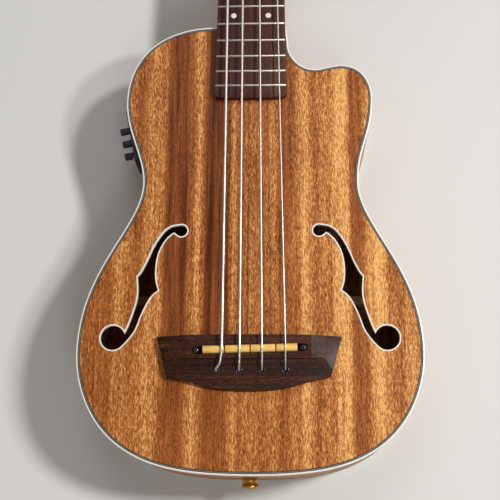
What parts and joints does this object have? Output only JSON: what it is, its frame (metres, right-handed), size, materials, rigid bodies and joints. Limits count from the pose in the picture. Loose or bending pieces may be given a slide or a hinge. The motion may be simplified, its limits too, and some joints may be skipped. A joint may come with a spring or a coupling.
{
  "type": "bass ukulele",
  "caption": "Electro-acoustic bass ukulele: hollow flat-backed body with cutaway and f-holes, fretted neck, open-gear tuners, split saddle, side preamp and end jack.",
  "frame": {"origin": "on the flat back, on the centre line, under the line of the saddle", "axes": "+Y from tail to headstock, +X towards the treble side with the cutaway, +Z from back to top"},
  "size_m": [0.2606, 0.7525, 0.0874],
  "materials": {
    "mahogany": "satin lacquer over mahogany with a ribbon figure",
    "rosewood": "dark open-pored rosewood",
    "spruce": "bare spruce",
    "cream_binding": "cream plastic strip",
    "purfling": "black and white lines",
    "saddle_bone": "amber yellow, polished",
    "nut_bone": "ivory white, polished",
    "string_steel": "wire wound",
    "nickel": "nickel plate",
    "brass": "bare brass",
    "aluminium": "mill finish",
    "cell_steel": "bright can",
    "black_plastic": "fine grained",
    "black_rubber": "soft touch, ribbed"
  },
  "bodies": {
    "body": {"back": "mahogany", "back_binding": "cream_binding", "back_brace_lower": "spruce", "back_brace_upper": "spruce", "back_lining": "spruce", "bridge": "rosewood", "bridge_patch": "spruce", "f_hole_binding_bass": "cream_binding", "f_hole_binding_treble": "cream_binding", "fingerboard": "rosewood", "headstock_veneer": "rosewood", "heel_cap": "rosewood", "jack_barrel": "nickel", "jack_lead": "black_plastic", "jack_nut": "brass", "neck": "mahogany", "neck_bar": "aluminium", "neck_block": "spruce", "nut": "nut_bone", "pickup_lead": "black_plastic", "pickup_strip": "brass", "preamp_case": "black_plastic", "preamp_panel": "black_plastic", "saddle_a": "saddle_bone", "saddle_d": "saddle_bone", "saddle_e": "saddle_bone", "saddle_g": "saddle_bone", "side_bass": "mahogany", "side_treble": "mahogany", "soundboard": "mahogany", "string_a": "string_steel", "string_d": "string_steel", "string_e": "string_steel", "string_g": "string_steel", "tail_block": "spruce", "tone_bar_bass": "spruce", "tone_bar_treble": "spruce", "top_binding": "cream_binding", "top_brace_upper": "spruce", "top_brace_waist": "spruce", "top_lining": "spruce", "top_purfling": "purfling", "tuner_plate_a": "nickel", "tuner_plate_d": "nickel", "tuner_plate_e": "nickel", "tuner_plate_g": "nickel"},
    "key_e": {"key_e": "nickel"},
    "post_e": {"post_e": "nickel"},
    "key_a": {"key_a": "nickel"},
    "post_a": {"post_a": "nickel"},
    "key_d": {"key_d": "nickel"},
    "post_d": {"post_d": "nickel"},
    "key_g": {"key_g": "nickel"},
    "post_g": {"post_g": "nickel"},
    "volume_knob": {"volume_knob": "black_rubber"},
    "bass_knob": {"bass_knob": "black_rubber"},
    "treble_knob": {"treble_knob": "black_rubber"},
    "tuner_key": {"tuner_key": "black_rubber"},
    "battery_tray": {"battery_tray": "black_plastic", "battery": "cell_steel"}
  },
  "joints": [
    {"name": "key_e_turn", "type": "hinge", "parent": "body", "child": "key_e", "pos_m": [-0.0245, 0.55903, 0.04771], "axis": [-1, 0, 0], "continuous": true},
    {"name": "post_e_turn", "type": "hinge", "parent": "body", "child": "post_e", "pos_m": [-0.0245, 0.57262, 0.06345], "axis": [0, 0.225, 0.9744], "continuous": true},
    {"name": "key_a_turn", "type": "hinge", "parent": "body", "child": "key_a", "pos_m": [-0.0245, 0.60387, 0.03735], "axis": [-1, 0, 0], "continuous": true},
    {"name": "post_a_turn", "type": "hinge", "parent": "body", "child": "post_a", "pos_m": [-0.0245, 0.61746, 0.0531], "axis": [0, 0.225, 0.9744], "continuous": true},
    {"name": "key_d_turn", "type": "hinge", "parent": "body", "child": "key_d", "pos_m": [0.0245, 0.60387, 0.03735], "axis": [1, 0, 0], "continuous": true},
    {"name": "post_d_turn", "type": "hinge", "parent": "body", "child": "post_d", "pos_m": [0.0245, 0.61746, 0.0531], "axis": [0, 0.225, 0.9744], "continuous": true},
    {"name": "key_g_turn", "type": "hinge", "parent": "body", "child": "key_g", "pos_m": [0.0245, 0.55903, 0.04771], "axis": [1, 0, 0], "continuous": true},
    {"name": "post_g_turn", "type": "hinge", "parent": "body", "child": "post_g", "pos_m": [0.0245, 0.57262, 0.06345], "axis": [0, 0.225, 0.9744], "continuous": true},
    {"name": "volume_knob_turn", "type": "hinge", "parent": "body", "child": "volume_knob", "pos_m": [-0.09986, 0.19102, 0.033], "axis": [-0.9798, -0.2001, 0], "range_deg": [-150, 150]},
    {"name": "bass_knob_turn", "type": "hinge", "parent": "body", "child": "bass_knob", "pos_m": [-0.0976, 0.17995, 0.033], "axis": [-0.9798, -0.2001, 0], "range_deg": [-150, 150]},
    {"name": "treble_knob_turn", "type": "hinge", "parent": "body", "child": "treble_knob", "pos_m": [-0.09534, 0.16888, 0.033], "axis": [-0.9798, -0.2001, 0], "range_deg": [-150, 150]},
    {"name": "tuner_key_press", "type": "slide", "parent": "body", "child": "tuner_key", "axis": [-0.9798, -0.2001, 0], "range_m": [-0.0006, 0], "stiffness_N_per_m": 400},
    {"name": "battery_tray_slide", "type": "slide", "parent": "body", "child": "battery_tray", "axis": [-0.9798, -0.2001, 0], "range_m": [0, 0.024]}
  ],
  "couplings": [
    {"joint": "post_e_turn", "follows": "key_e_turn", "ratio": 0.0625},
    {"joint": "post_a_turn", "follows": "key_a_turn", "ratio": 0.0625},
    {"joint": "post_d_turn", "follows": "key_d_turn", "ratio": -0.0625},
    {"joint": "post_g_turn", "follows": "key_g_turn", "ratio": -0.0625}
  ]
}
